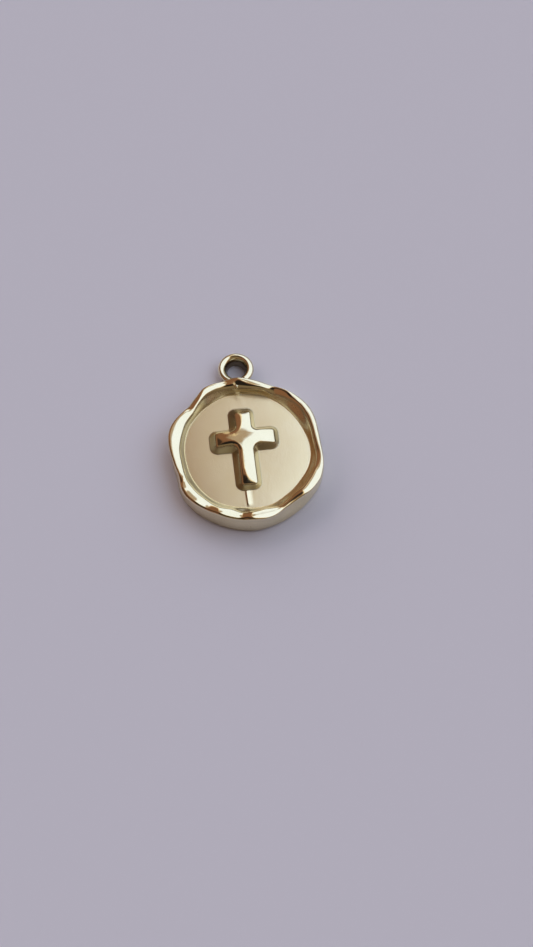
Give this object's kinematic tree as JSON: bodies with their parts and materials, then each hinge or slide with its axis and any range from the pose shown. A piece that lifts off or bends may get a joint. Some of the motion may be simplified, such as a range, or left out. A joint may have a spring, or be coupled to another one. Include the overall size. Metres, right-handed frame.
{
  "type": "cross charm",
  "caption": "Round cast charm with a wavy rolled rim, a sunk satin field, a raised Latin cross and a ring loop on its top edge.",
  "frame": {"origin": "on the flat back's plane, under the middle of the whole charm's outline with its loop", "axes": "+Y from the medal to the loop, +Z out of the face with the cross, +X to the right seen from the front"},
  "size_m": [0.0142, 0.0186, 0.0024],
  "materials": {
    "gold_metal": "polished gold-coloured metal, satin in the sunk field"
  },
  "bodies": {
    "root": {"charm": "gold_metal"}
  },
  "joints": []
}
